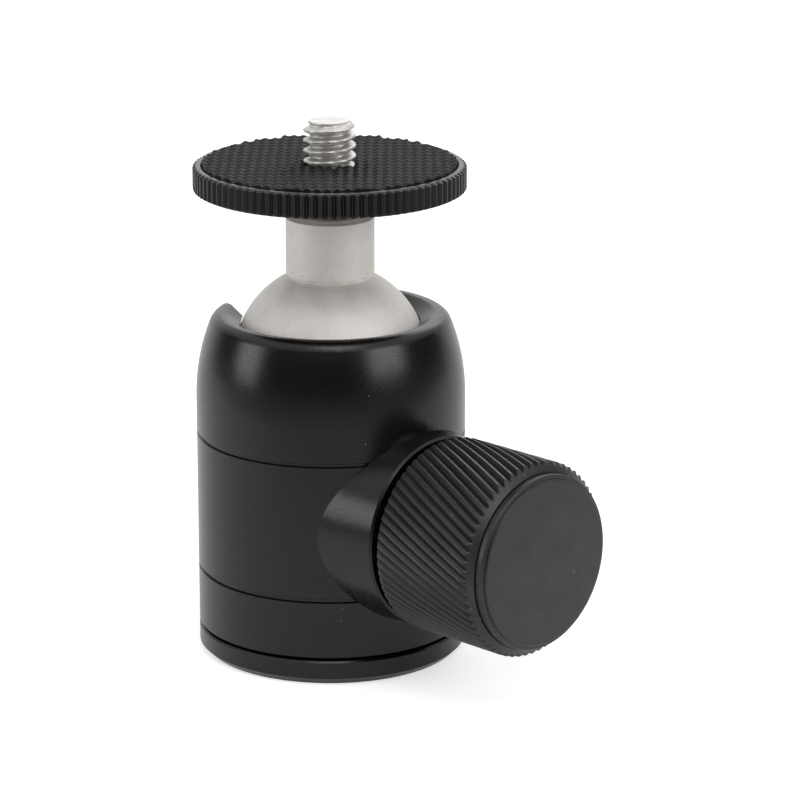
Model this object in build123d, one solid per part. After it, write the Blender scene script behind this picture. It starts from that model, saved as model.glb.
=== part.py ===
from build123d import *
import math
import os

# Tripod ball head, in millimetres. +Z is up and the origin is the centre of the base's underside.
# The lock knob points along +X and the drop notch opens along -X.

# ---- clearances ----
RUN_GAP = 0.05            # radial gap of a shaft that turns or slides in its hole
FIT_GAP = 0.02            # gap of a piece that is pressed, screwed or glued in place
FACE_GAP = 0.05           # gap between flat faces that slide on each other
BALL_GAP = 0.12           # gap between the ball and the faces that clamp it
PLAY = 0.10               # gap that lets a free piece move

# ---- ball and stem ----
BALL_R = 11.8
STEM_R = 5.38
STEM_TOP_ABOVE_BALL = 18.17
STEM_EDGE = 0.3           # chamfer at the stem's top
STEM_UNDERCUT = 0.25      # depth of the turned relief where the stem meets the ball
STUD_HOLE_DEPTH = 10.0

# ---- camera plate ----
PLATE_R = 16.5
PLATE_T = 3.05
PLATE_EDGE = 0.35         # chamfer on both edges of the rim
PLATE_KNURLS = 94
PLATE_KNURL_DEPTH = 0.32
PAD_R = 15.35
PAD_T = 1.2
PAD_PROUD = 0.25          # height of the rubber above the plate's rim
HUB_R = 5.3
HUB_H = 2.75
HUB_ROUND = 0.4
HUB_SPIGOT_R = 4.2
HUB_TO_STEM = 0.35        # gap between the hub and the stem's top

# ---- camera stud, 1/4 inch ----
STUD_R = 3.175
STUD_SHANK_R = 3.0        # plain part below the thread
STUD_PROUD = 5.35         # height above the plate's rim
STUD_POINT = 0.6          # chamfer at the stud's end
STUD_END_GAP = 0.5        # from the stud's foot to the bottom of its hole

# ---- ball seat, from the ball outwards ----
LINER_T = 1.0
LINER_EDGE_DEG = 48.0     # half angle of the plastic cup
LINER_HOLE_DEG = 12.0     # half angle of its central hole
LIFTER_EDGE_DEG = 60.0    # half angle of the brass cup
LIFTER_WEB = 1.43         # brass between the wedge bore and the bottom of the cup
LIFTER_RIM = 1.5          # brass outside the cup's edge
RING_BELOW_BALL = 0.3     # how far the upper ring reaches below the ball's centre
RING_H = 3.5
RING_SLIT_EXTRA = 0.4     # the ring's opening is this much wider than the notch, each side

# ---- wedge and lock screw ----
PIN_R = 3.2
PIN_TIP_R = 1.4
PIN_SLOPE = 0.3           # rise of the pin's cone over its length
PIN_TIP_X = -3.0
PIN_END_SHORT = 4.45      # from the pin's outer end to the collar's face
PIN_DROP = 0.35           # how far the lifter's wedge bore lies below the pin's axis
BORE_OVERRUN = 1.0        # how far the wedge bore runs past the pin's tip
LIFTER_FLOOR = 0.63       # wall under the mouth of the lifter's wedge bore
WEDGE_GAP = 0.04          # gap between the pin's cone and the lifter's ramp
KNOB_TRAVEL = 1.0         # outward travel over the knob's turn
SOCKET_R = 2.05
SOCKET_DEPTH = 2.0
SCREW_R = 3.0
SCREW_HEAD_AF = 10.0
SCREW_HEAD_H = 4.0

# ---- housing ----
LIFTER_PLAY = 0.10        # radial gap round the lifter
BODY_WALL = 3.55
DOME_ARC_R = 24.9
DOME_DEG = 21.5           # how far the dome leans in where the lip begins
LIP_R = 1.7
LIP_INNER_R = 1.2         # roll from the lip's top into the funnel
LIP_ABOVE_FUNNEL = 1.11   # from the funnel's inner edge to the lip's top
FUNNEL_DEG = 23.9         # height angle, from the ball's centre, of the funnel's inner edge
GROOVE_W = 0.55
GROOVE_DEPTH = 0.28
GROOVE_ABOVE_KNOB = 9.03
GROOVE_BELOW_KNOB = 7.92
BODY_EDGE = 0.25
NOTCH_SIDE_GAP = 0.75     # each side of the stem when it lies in the notch
NOTCH_DROP = 0.3          # how far the notch's round bottom lies below the ball's centre
NOTCH_FLARE = 0.35        # chamfer where the notch meets the outside
NOTCH_FLARE_DEPTH = 0.5

# ---- knob, its collar and its bushing ----
COLLAR_L = 2.05           # beyond the housing's side
COLLAR_R = 11.5
COLLAR_TAPER_DEG = 7.8
COLLAR_EDGE = 0.25
COLLAR_RECESS = 1.5
BUSHING_R = 5.0
BUSHING_FLANGE_R = 7.5
BUSHING_FLANGE_T = 1.2
BUSHING_THREAD_L = 3.0
KNOB_GAP = 1.0
KNOB_R = 11.8
KNOB_L = 15.15
KNOB_KNURLS = 64
KNOB_KNURL_DEPTH = 0.5
KNOB_TWIST_DEG = 30.9     # turn of each ridge over the knob's length
KNOB_TWIST_STEPS = 4
KNOB_KNURL_START_DEG = -0.2
KNOB_INNER_EDGE = 0.4
KNOB_END_EDGE = 0.8      # length of the plain slope round the outer end
KNOB_END_RADIAL = 1.1     # height of that slope
KNOB_WEB_L = 8.0
CLIP_T = 1.0
CLIP_R = 6.5
CLIP_BORE_R = 3.6
CLIP_OPENING = 2.4
CLIP_SEAT = 0.5           # how far the clip reaches into its groove
CAP_SPIGOT_R = 9.0
CAP_SPIGOT_L = 2.0
CAP_RIM_R = 10.55
CAP_RIM_L = 0.86
CAP_FACE_R = 10.0
CAP_FACE_L = 0.33
CAP_SEAM = 0.1
CAP_ROUND = 0.2

# ---- panning base ----
BASE_T = 3.05
BASE_FOOT_EDGE = 0.85
BASE_TOP_EDGE = 0.2
PAN_GAP = 0.27
PAN_WASHER_T = 0.9
PAN_WASHER_RIM = 0.4      # from the washer's rim to the housing's bore
PAN_TOP_WASHER_T = 0.6
PAN_HUB_R = 8.4
PLUG_T = 6.1
PLUG_SLOT_W = 2.0
PLUG_SLOT_T = 1.2
RETAINER_RIM = 1.6        # how far the retainer reaches beyond the hub
RETAINER_T = 1.2
RETAINER_SCREWS = 3
RETAINER_SCREW_R = 1.0
RETAINER_HEAD_R = 1.9
RETAINER_SCREW_L = 5.5
SPRING_H = 3.6
SPRING_WIRE = 0.75        # side of its square wire
SPRING_TURNS = 2.5
SPRING_GAP = 0.35         # from the retainer's rim to the spring
INSERT_R = 4.7625         # 3/8 inch outer thread
INSERT_INSET = 0.4
INSERT_L = 9.6
INSERT_SLOT_W = 1.2
INSERT_SLOT_T = 1.0
TRIPOD_HOLE_R = STUD_R + RUN_GAP
RETAINER_R = PAN_HUB_R + RETAINER_RIM
RETAINER_SCREW_PITCH_R = round((INSERT_R + FIT_GAP + PAN_HUB_R) / 2, 1)    # midway in the hub's wall

# ---- heights that follow ----
HOUSING_FOOT = BASE_T + PAN_GAP
PLUG_FOOT = BASE_T + PAN_WASHER_T + 2 * FACE_GAP
PLUG_TOP = PLUG_FOOT + PLUG_T
PAN_HUB_TOP = PLUG_TOP + PAN_TOP_WASHER_T + 2 * FACE_GAP
LIFTER_FOOT = PLUG_TOP + SPRING_H
LIFTER_TRAVEL = KNOB_TRAVEL * PIN_SLOPE
WEDGE_BORE_EXTRA = PIN_DROP + WEDGE_GAP
WEDGE_MOUTH_R = PIN_R + WEDGE_BORE_EXTRA + LIFTER_TRAVEL
KNOB_Z = LIFTER_FOOT + LIFTER_FLOOR + WEDGE_MOUTH_R + PIN_DROP
LINER_IN_R = BALL_R + BALL_GAP
LINER_OUT_R = LINER_IN_R + LINER_T
LIFTER_CUP_R = LINER_OUT_R + BALL_GAP
BALL_Z = KNOB_Z - PIN_DROP + PIN_R + WEDGE_BORE_EXTRA + LIFTER_WEB + LIFTER_CUP_R
STEM_TOP = BALL_Z + STEM_TOP_ABOVE_BALL
HUB_FOOT = STEM_TOP + HUB_TO_STEM
PLATE_FOOT = HUB_FOOT + HUB_H
PLATE_TOP = PLATE_FOOT + PLATE_T
PAD_FLOOR = PLATE_TOP + PAD_PROUD - PAD_T
STUD_TOP = PLATE_TOP + STUD_PROUD

# ---- radii and lengths along the knob's axis that follow ----
LIFTER_R = LIFTER_CUP_R * math.sin(math.radians(LIFTER_EDGE_DEG)) + LIFTER_RIM
BORE_R = LIFTER_R + LIFTER_PLAY
BODY_R = BORE_R + BODY_WALL
COLLAR_END = BODY_R + COLLAR_L
KNOB_START = COLLAR_END + KNOB_GAP
KNOB_END = KNOB_START + KNOB_L
NOTCH_HALF = STEM_R + NOTCH_SIDE_GAP
PIN_END_X = COLLAR_END - PIN_END_SHORT
PIN_CONE_END_X = PIN_TIP_X + (PIN_R - PIN_TIP_R) / PIN_SLOPE


def turned(*outline):
    """A solid of revolution about Z from its (radius, height) corners."""
    return revolve(Plane.XZ * make_face(Polyline(*outline, close=True)), Axis.Z)


def ring(inner, outer, low, high):
    return turned((inner, low), (outer, low), (outer, high), (inner, high))


def rod(radius, low, high):
    return Pos(0, 0, low) * Cylinder(radius, high - low, align=(Align.CENTER, Align.CENTER, Align.MIN))


def on_knob_axis(shape, drop=0.0):
    """Turn a shape that was built along +Z so that it lies along +X at the knob's height."""
    return Pos(0, 0, KNOB_Z - drop) * Rot(0, 90, 0) * shape


def knurl_outline(tip_r, depth, count, turn_deg=0.0):
    """A flat face whose edge zigzags, with one ridge for each knurl."""
    corners = []
    for index in range(2 * count):
        radius = tip_r if index % 2 == 0 else tip_r - depth
        angle = math.radians(turn_deg + 180.0 * index / count)
        corners.append((radius * math.cos(angle), radius * math.sin(angle)))
    return make_face(Polyline(*corners, close=True))


def bowl(inner_r, outer_r, hole_deg, edge_deg):
    """Part of a hollow sphere round the ball's centre, between two angles up from its lowest point."""
    def point(radius, degrees):
        angle = math.radians(degrees)
        return (radius * math.sin(angle), BALL_Z - radius * math.cos(angle))

    middle = (hole_deg + edge_deg) / 2
    edges = [
        Line(point(inner_r, hole_deg), point(outer_r, hole_deg)),
        ThreePointArc(point(outer_r, hole_deg), point(outer_r, middle), point(outer_r, edge_deg)),
        Line(point(outer_r, edge_deg), point(inner_r, edge_deg)),
        ThreePointArc(point(inner_r, edge_deg), point(inner_r, middle), point(inner_r, hole_deg)),
    ]
    return revolve(Plane.XZ * make_face(edges), Axis.Z)


# ---- camera plate and what turns with it ----

def camera_plate():
    """Round plate with a straight knurl round its rim and a recess for the rubber pad."""
    blank = Pos(0, 0, PLATE_FOOT) * extrude(knurl_outline(PLATE_R, PLATE_KNURL_DEPTH, PLATE_KNURLS), PLATE_T)
    envelope = turned((0, PLATE_FOOT), (PLATE_R - PLATE_EDGE, PLATE_FOOT), (PLATE_R, PLATE_FOOT + PLATE_EDGE),
                      (PLATE_R, PLATE_TOP - PLATE_EDGE), (PLATE_R - PLATE_EDGE, PLATE_TOP), (0, PLATE_TOP))
    plate = blank & envelope
    plate -= rod(PAD_R + PLAY, PAD_FLOOR, PLATE_TOP + PAD_PROUD)
    return plate - rod(HUB_SPIGOT_R + FIT_GAP, PLATE_FOOT - PLAY, PLATE_TOP)


def grip_pad():
    """Rubber disc let into the plate's top and standing a little above its rim."""
    return ring(STUD_R + PLAY, PAD_R, PAD_FLOOR + FIT_GAP, PLATE_TOP + PAD_PROUD)


def plate_hub():
    """Bright boss under the plate, with a spigot pressed into the plate's bore."""
    bore_r = STUD_SHANK_R + FIT_GAP
    hub = ring(bore_r, HUB_R, HUB_FOOT, PLATE_FOOT - FIT_GAP)
    low_rim = hub.edges().filter_by(GeomType.CIRCLE).group_by(Axis.Z)[0].sort_by(SortBy.RADIUS)[-1]
    hub = fillet(low_rim, HUB_ROUND)
    return hub + ring(bore_r, HUB_SPIGOT_R, PLATE_FOOT - FIT_GAP, PAD_FLOOR)


def camera_stud():
    """1/4 inch stud: its shank is glued in the hub and runs down into the stem, its thread stands on top."""
    foot = STEM_TOP - STUD_HOLE_DEPTH + STUD_END_GAP
    thread_foot = PLATE_TOP + PAD_PROUD + PLAY
    return turned((0, foot), (STUD_SHANK_R - STUD_POINT, foot), (STUD_SHANK_R, foot + STUD_POINT),
                  (STUD_SHANK_R, thread_foot), (STUD_R, thread_foot), (STUD_R, STUD_TOP - STUD_POINT),
                  (STUD_R - STUD_POINT, STUD_TOP), (0, STUD_TOP))


# ---- ball ----

def ball_stem():
    """Ball and stem turned from one bar, with a blind hole for the stud."""
    neck_z = BALL_Z + math.sqrt(BALL_R ** 2 - STEM_R ** 2)
    ball = Pos(0, 0, BALL_Z) * Sphere(BALL_R)
    stem = turned((0, BALL_Z), (STEM_R - STEM_UNDERCUT, BALL_Z), (STEM_R - STEM_UNDERCUT, neck_z + STEM_UNDERCUT),
                  (STEM_R, neck_z + 2 * STEM_UNDERCUT), (STEM_R, STEM_TOP - STEM_EDGE),
                  (STEM_R - STEM_EDGE, STEM_TOP), (0, STEM_TOP))
    return ball + stem - rod(STUD_SHANK_R + RUN_GAP, STEM_TOP - STUD_HOLE_DEPTH, STEM_TOP + PLAY)


def seat_liner():
    """Thin plastic cup that the ball rests in."""
    return bowl(LINER_IN_R, LINER_OUT_R, LINER_HOLE_DEG, LINER_EDGE_DEG)


def seat_lifter():
    """Brass pressure block: a cup on top and a tapered cross bore that the wedge pin drives."""
    cup_edge_z = BALL_Z - LIFTER_CUP_R * math.cos(math.radians(LIFTER_EDGE_DEG))
    block = rod(LIFTER_R, LIFTER_FOOT, cup_edge_z) - Pos(0, 0, BALL_Z) * Sphere(LIFTER_CUP_R)
    ramp_r = PIN_TIP_R + WEDGE_BORE_EXTRA
    bore_end = PIN_TIP_X - BORE_OVERRUN
    bore = turned((0, bore_end), (ramp_r - PIN_SLOPE * BORE_OVERRUN, bore_end),
                  (PIN_R + WEDGE_BORE_EXTRA, PIN_CONE_END_X), (WEDGE_MOUTH_R, PIN_CONE_END_X),
                  (WEDGE_MOUTH_R, LIFTER_R + PLAY), (0, LIFTER_R + PLAY))
    return block - on_knob_axis(bore, PIN_DROP)


# ---- housing and what is fixed in it ----

def groove_outline(height):
    """Corners of one turned decorative groove on the housing's side."""
    half = GROOVE_W / 2
    floor_half = half - GROOVE_DEPTH / 2
    floor_r = BODY_R - GROOVE_DEPTH
    return [(BODY_R, height - half), (floor_r, height - floor_half),
            (floor_r, height + floor_half), (BODY_R, height + half)]


def housing_blank():
    """The turned body: grooved side, domed shoulder, rolled lip, funnel and stepped bore."""
    lean = math.radians(DOME_DEG)
    seat_r = LINER_IN_R + RUN_GAP
    funnel_r = seat_r * math.cos(math.radians(FUNNEL_DEG))
    funnel_z = BALL_Z + seat_r * math.sin(math.radians(FUNNEL_DEG))
    shelf_z = BALL_Z - RING_BELOW_BALL + RING_H
    shelf_r = math.sqrt(seat_r ** 2 - (shelf_z - BALL_Z) ** 2)
    lip_top_z = funnel_z + LIP_ABOVE_FUNNEL
    shoulder = (BODY_R - DOME_ARC_R * (1 - math.cos(lean)), lip_top_z - LIP_R * (1 - math.sin(lean)))
    lip_r = shoulder[0] - LIP_R * math.cos(lean)
    dome_z = shoulder[1] - DOME_ARC_R * math.sin(lean)

    side = [(BORE_R, HOUSING_FOOT), (BODY_R - BODY_EDGE, HOUSING_FOOT), (BODY_R, HOUSING_FOOT + BODY_EDGE)]
    side += groove_outline(KNOB_Z - GROOVE_BELOW_KNOB)
    side += groove_outline(KNOB_Z + GROOVE_ABOVE_KNOB)
    side.append((BODY_R, dome_z))
    lip_top = (lip_r, lip_top_z)
    funnel_edge = (funnel_r, funnel_z)
    roll_centre = (lip_r, lip_top_z - LIP_INNER_R)
    across, up = roll_centre[0] - funnel_r, roll_centre[1] - funnel_z
    slope = math.atan2(up, across) + math.asin(LIP_INNER_R / math.hypot(across, up))
    lip_edge = (roll_centre[0] - LIP_INNER_R * math.sin(slope), roll_centre[1] + LIP_INNER_R * math.cos(slope))
    seat_middle_deg = (FUNNEL_DEG + math.degrees(math.asin((shelf_z - BALL_Z) / seat_r))) / 2
    seat_middle = (seat_r * math.cos(math.radians(seat_middle_deg)),
                   BALL_Z + seat_r * math.sin(math.radians(seat_middle_deg)))
    edges = [
        Polyline(*side),
        TangentArc(side[-1], shoulder, tangent=(0, 1)),
        TangentArc(shoulder, lip_top, tangent=(-math.sin(lean), math.cos(lean))),
        TangentArc(lip_top, lip_edge, tangent=(-1, 0)),
        Line(lip_edge, funnel_edge),
        ThreePointArc(funnel_edge, seat_middle, (shelf_r, shelf_z)),
        Polyline((shelf_r, shelf_z), (BORE_R, shelf_z), (BORE_R, HOUSING_FOOT)),
    ]
    return revolve(Plane.XZ * make_face(edges), Axis.Z)


def notch_outline(half_width):
    """U-shaped face in the YZ plane, with its round bottom just below the ball's centre."""
    height = 2 * BALL_R
    centre = BALL_Z - NOTCH_DROP
    slot = Pos(0, height / 2) * Rectangle(2 * half_width, height)
    return Plane((0, 0, centre), x_dir=(0, 1, 0), z_dir=(1, 0, 0)) * (slot + Circle(half_width))


def notch_cutter():
    """The drop notch, flared where it breaks out of the housing's side."""
    through = extrude(notch_outline(NOTCH_HALF), -(BODY_R + PLAY))
    flare = loft([
        Pos(-(BODY_R - NOTCH_FLARE_DEPTH - NOTCH_FLARE), 0, 0) * notch_outline(NOTCH_HALF),
        Pos(-(BODY_R + PLAY), 0, 0) * notch_outline(NOTCH_HALF + NOTCH_FLARE),
    ])
    return through + flare


def housing():
    """The turned body with its drop notch and the hole for the lock bushing."""
    body = housing_blank() - notch_cutter()
    return body - on_knob_axis(rod(BUSHING_R + FIT_GAP, 0, BODY_R + PLAY))


def ball_ring():
    """Plastic C-shaped ring above the ball's widest part; the stem drops through its opening."""
    low = BALL_Z - RING_BELOW_BALL
    blank = rod(BORE_R - FIT_GAP, low, low + RING_H - FIT_GAP) - Pos(0, 0, BALL_Z) * Sphere(LINER_IN_R)
    opening = extrude(notch_outline(NOTCH_HALF + RING_SLIT_EXTRA), -(BODY_R + PLAY))
    return blank - opening


def bottom_plug():
    """Screwed plug that closes the bore, carries the spring and turns on the base's hub."""
    plug = ring(PAN_HUB_R + PLAY, BORE_R - FIT_GAP, PLUG_FOOT, PLUG_TOP)
    slot = Pos(0, 0, PLUG_FOOT) * Box(2 * BODY_R, PLUG_SLOT_W, 2 * PLUG_SLOT_T)
    return plug - slot


def return_spring():
    """Square-wire coil that keeps the lifter up against the ball."""
    mean_r = RETAINER_R + SPRING_GAP + SPRING_WIRE / 2
    low = PLUG_TOP + SPRING_WIRE / 2 + FACE_GAP
    height = SPRING_H - SPRING_WIRE - 2 * FACE_GAP
    path = Pos(0, 0, low) * Helix(pitch=height / SPRING_TURNS, height=height, radius=mean_r)
    wire = Plane(origin=path @ 0, z_dir=path % 0) * Rectangle(SPRING_WIRE, SPRING_WIRE)
    return sweep(wire, path, is_frenet=True)


def lock_bushing():
    """Flanged brass bushing: it holds the collar on the housing and carries the screw's thread."""
    inner_end = BORE_R + PLAY
    flange_foot = COLLAR_END - COLLAR_RECESS
    flange_top = flange_foot + BUSHING_FLANGE_T
    thread_foot = flange_top - BUSHING_THREAD_L
    bushing = turned(
        (PIN_R + RUN_GAP, inner_end), (BUSHING_R, inner_end), (BUSHING_R, flange_foot),
        (BUSHING_FLANGE_R, flange_foot), (BUSHING_FLANGE_R, flange_top), (SCREW_R + RUN_GAP, flange_top),
        (SCREW_R + RUN_GAP, thread_foot), (PIN_R + RUN_GAP, thread_foot))
    return on_knob_axis(bushing)


def knob_collar():
    """Tapered sleeve whose foot is cut to sit on the housing's round side."""
    root = BODY_R / 2
    root_r = COLLAR_R + (COLLAR_END - root) * math.tan(math.radians(COLLAR_TAPER_DEG))
    recess = COLLAR_END - COLLAR_RECESS - FIT_GAP
    sleeve = turned(
        (BUSHING_R + FIT_GAP, root), (root_r, root), (COLLAR_R, COLLAR_END - COLLAR_EDGE),
        (COLLAR_R - COLLAR_EDGE, COLLAR_END), (BUSHING_FLANGE_R + PLAY, COLLAR_END),
        (BUSHING_FLANGE_R + PLAY, recess), (BUSHING_R + FIT_GAP, recess))
    return on_knob_axis(sleeve) - rod(BODY_R + FIT_GAP, 0, 2 * BALL_Z)


# ---- wedge pin and knob ----

def wedge_pin():
    """Steel pin with a slim cone that runs under the lifter's ramp."""
    floor = PIN_END_X - SOCKET_DEPTH
    pin = turned((0, PIN_TIP_X), (PIN_TIP_R, PIN_TIP_X), (PIN_R, PIN_CONE_END_X), (PIN_R, PIN_END_X),
                 (SOCKET_R, PIN_END_X), (SOCKET_R, floor), (0, floor))
    return on_knob_axis(pin)


def lock_screw():
    """Hexagon-head screw; its nose turns in the wedge pin's socket."""
    nose = PIN_END_X - SOCKET_DEPTH + PLAY
    shoulder = PIN_END_X + FACE_GAP
    head = KNOB_START + KNOB_WEB_L
    shank = turned((0, nose), (SOCKET_R - RUN_GAP, nose), (SOCKET_R - RUN_GAP, shoulder),
                   (SCREW_R, shoulder), (SCREW_R, head), (0, head))
    hexagon = RegularPolygon(SCREW_HEAD_AF / 2, 6, major_radius=False)
    return on_knob_axis(shank + Pos(0, 0, head) * extrude(hexagon, SCREW_HEAD_H))


def knurled_barrel():
    """Barrel with slanting ridges, built as a stack of slices that each turn a little further."""
    sections = []
    for step in range(KNOB_TWIST_STEPS + 1):
        share = step / KNOB_TWIST_STEPS
        turn_deg = KNOB_KNURL_START_DEG + KNOB_TWIST_DEG * share
        outline = knurl_outline(KNOB_R, KNOB_KNURL_DEPTH, KNOB_KNURLS, turn_deg)
        sections.append(Pos(0, 0, KNOB_START + KNOB_L * share) * outline)
    return loft(sections, ruled=True)


def knob():
    """Hollow lock knob with slanting ridges, a plain end land and a pocket for the screw's head."""
    envelope = turned((0, KNOB_START), (KNOB_R - KNOB_INNER_EDGE, KNOB_START),
                      (KNOB_R, KNOB_START + KNOB_INNER_EDGE), (KNOB_R, KNOB_END - KNOB_END_EDGE),
                      (KNOB_R - KNOB_END_RADIAL, KNOB_END), (0, KNOB_END))
    pocket = KNOB_START + KNOB_WEB_L
    clip_seat = pocket + SCREW_HEAD_H
    barrel = knurled_barrel() & envelope
    barrel -= rod(SCREW_R + FIT_GAP, KNOB_START - PLAY, pocket + PLAY)
    hexagon = RegularPolygon(SCREW_HEAD_AF / 2 + FIT_GAP, 6, major_radius=False)
    barrel -= Pos(0, 0, pocket) * extrude(hexagon, SCREW_HEAD_H + FACE_GAP)
    barrel -= rod(CLIP_R + FIT_GAP, clip_seat, clip_seat + CLIP_T + 2 * FACE_GAP)
    barrel -= rod(CLIP_R - CLIP_SEAT, clip_seat, KNOB_END)
    barrel -= rod(CAP_SPIGOT_R + FIT_GAP, KNOB_END - CAP_SPIGOT_L - PLAY, KNOB_END + PLAY)
    return on_knob_axis(barrel)


def knob_clip():
    """Snap ring that keeps the screw's head in its pocket."""
    foot = KNOB_START + KNOB_WEB_L + SCREW_HEAD_H + FACE_GAP
    clip = ring(CLIP_BORE_R, CLIP_R, foot, foot + CLIP_T)
    gap = Pos(CLIP_R, 0, foot) * Box(2 * CLIP_R, CLIP_OPENING, 4 * CLIP_T)
    return on_knob_axis(clip - gap)


def knob_cap():
    """Flat end cap with a stepped rim, pressed into the knob."""
    rim_foot = KNOB_END + CAP_SEAM
    rim_top = rim_foot + CAP_RIM_L
    face = rim_top + CAP_FACE_L
    cap = turned((0, KNOB_END - CAP_SPIGOT_L), (CAP_SPIGOT_R, KNOB_END - CAP_SPIGOT_L), (CAP_SPIGOT_R, rim_foot),
                 (CAP_RIM_R, rim_foot), (CAP_RIM_R, rim_top - CAP_ROUND), (CAP_RIM_R - CAP_ROUND, rim_top),
                 (CAP_FACE_R, rim_top), (CAP_FACE_R, face - CAP_ROUND), (CAP_FACE_R - CAP_ROUND, face), (0, face))
    return on_knob_axis(cap)


# ---- panning base ----

def base_plate():
    """Foot of the head, with a hub that the housing turns on."""
    bore_top = INSERT_INSET + INSERT_L
    plate = turned((INSERT_R + FIT_GAP, 0), (BODY_R - BASE_FOOT_EDGE, 0), (BODY_R, BASE_FOOT_EDGE),
                   (BODY_R, BASE_T - BASE_TOP_EDGE), (BODY_R - BASE_TOP_EDGE, BASE_T), (PAN_HUB_R, BASE_T),
                   (PAN_HUB_R, PAN_HUB_TOP), (0, PAN_HUB_TOP), (0, bore_top), (INSERT_R + FIT_GAP, bore_top))
    return plate - retainer_screw_set(FIT_GAP)


def thread_insert():
    """Steel reducer: 3/8 inch thread outside, 1/4 inch tripod thread inside, slotted at its foot."""
    top = INSERT_INSET + INSERT_L
    insert = ring(TRIPOD_HOLE_R, INSERT_R, INSERT_INSET, top)
    slot = Pos(0, 0, INSERT_INSET) * Box(4 * INSERT_R, INSERT_SLOT_W, 2 * INSERT_SLOT_T)
    return insert - slot


def pan_washer():
    """Friction washer between the base plate and the plug."""
    foot = BASE_T + FACE_GAP
    return ring(PAN_HUB_R + PLAY, BORE_R - PAN_WASHER_RIM, foot, foot + PAN_WASHER_T)


def pan_top_washer():
    """Friction washer between the plug and the retaining disc."""
    foot = PLUG_TOP + FACE_GAP
    return ring(PAN_HUB_R + PLAY, RETAINER_R, foot, foot + PAN_TOP_WASHER_T)


def retainer_screw_set(extra=0.0):
    """The small countersunk screws, or, with some extra, the holes that take them."""
    top = PAN_HUB_TOP + RETAINER_T
    cone_foot = top - (RETAINER_HEAD_R - RETAINER_SCREW_R)
    foot = top - RETAINER_SCREW_L - extra
    shank_r = RETAINER_SCREW_R + extra
    head_r = RETAINER_HEAD_R + extra
    screw = turned((0, foot), (shank_r, foot), (shank_r, cone_foot), (head_r, top), (0, top))
    places = PolarLocations(RETAINER_SCREW_PITCH_R, RETAINER_SCREWS)
    return Part() + [place * screw for place in places]


def pan_retainer():
    """Disc screwed on the hub; it holds the housing down on the base."""
    return rod(RETAINER_R, PAN_HUB_TOP, PAN_HUB_TOP + RETAINER_T) - retainer_screw_set(FIT_GAP)


NODES = {
    "camera_plate": camera_plate,
    "grip_pad": grip_pad,
    "plate_hub": plate_hub,
    "camera_stud": camera_stud,
    "ball_stem": ball_stem,
    "seat_liner": seat_liner,
    "seat_lifter": seat_lifter,
    "housing": housing,
    "ball_ring": ball_ring,
    "bottom_plug": bottom_plug,
    "return_spring": return_spring,
    "lock_bushing": lock_bushing,
    "knob_collar": knob_collar,
    "wedge_pin": wedge_pin,
    "lock_screw": lock_screw,
    "knob": knob,
    "knob_clip": knob_clip,
    "knob_cap": knob_cap,
    "base_plate": base_plate,
    "thread_insert": thread_insert,
    "pan_washer": pan_washer,
    "pan_top_washer": pan_top_washer,
    "pan_retainer": pan_retainer,
    "retainer_screws": retainer_screw_set,
}


def main():
    os.makedirs("parts", exist_ok=True)
    for name, make in NODES.items():
        export_step(make(), os.path.join("parts", name + ".step"))


main()
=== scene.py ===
import math

import bmesh
import bpy
from mathutils import Matrix, Vector

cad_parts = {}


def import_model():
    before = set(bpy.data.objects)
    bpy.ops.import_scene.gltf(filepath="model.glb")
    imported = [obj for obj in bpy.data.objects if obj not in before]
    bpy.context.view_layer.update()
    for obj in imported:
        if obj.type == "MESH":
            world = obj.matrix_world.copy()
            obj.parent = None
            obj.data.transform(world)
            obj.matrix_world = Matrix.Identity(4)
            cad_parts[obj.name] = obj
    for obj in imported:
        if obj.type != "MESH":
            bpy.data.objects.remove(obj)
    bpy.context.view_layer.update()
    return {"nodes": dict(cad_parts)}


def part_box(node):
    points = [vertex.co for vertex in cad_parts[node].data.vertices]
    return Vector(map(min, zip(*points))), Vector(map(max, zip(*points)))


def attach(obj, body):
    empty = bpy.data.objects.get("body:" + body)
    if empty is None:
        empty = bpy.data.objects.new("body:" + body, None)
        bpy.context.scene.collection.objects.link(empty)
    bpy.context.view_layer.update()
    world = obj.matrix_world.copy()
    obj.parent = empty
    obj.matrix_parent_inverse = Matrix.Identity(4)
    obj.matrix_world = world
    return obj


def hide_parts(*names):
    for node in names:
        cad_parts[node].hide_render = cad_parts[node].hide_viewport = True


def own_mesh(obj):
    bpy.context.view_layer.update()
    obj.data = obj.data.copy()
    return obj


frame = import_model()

# Tripod ball head. Lengths are written in millimetres and made metres by MM.
# The lock knob points along +X, the drop notch opens along -X, and +Z is up.

MM = 0.001
NODES = frame["nodes"]
TAU = 2 * math.pi

# ---- sizes, as in the CAD source ----
BALL_Z = 36.33
BALL_R = 11.8
STEM_R = 5.38
STEM_TOP = 54.5
STUD_R = 3.175
SHANK_R = 3.0
SHANK_FOOT = 45.0
STUD_TOP = 66.0
THREAD_PITCH = 1.27
PLATE_FOOT = 57.6
PLATE_TOP = 60.65
PLATE_R = 16.5
PLATE_KNURLS = 94
PAD_R = 15.35
PAD_FLOOR = 59.7
HUB_R = 5.3
HUB_FOOT = 54.85
KNOB_Z = 18.62
KNOB_START = 19.49
KNOB_END = 34.64
KNOB_R = 11.8
KNOB_KNURLS = 64
KNURL_START_DEG = -0.2
KNURL_TWIST_DEG = 30.9

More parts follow.
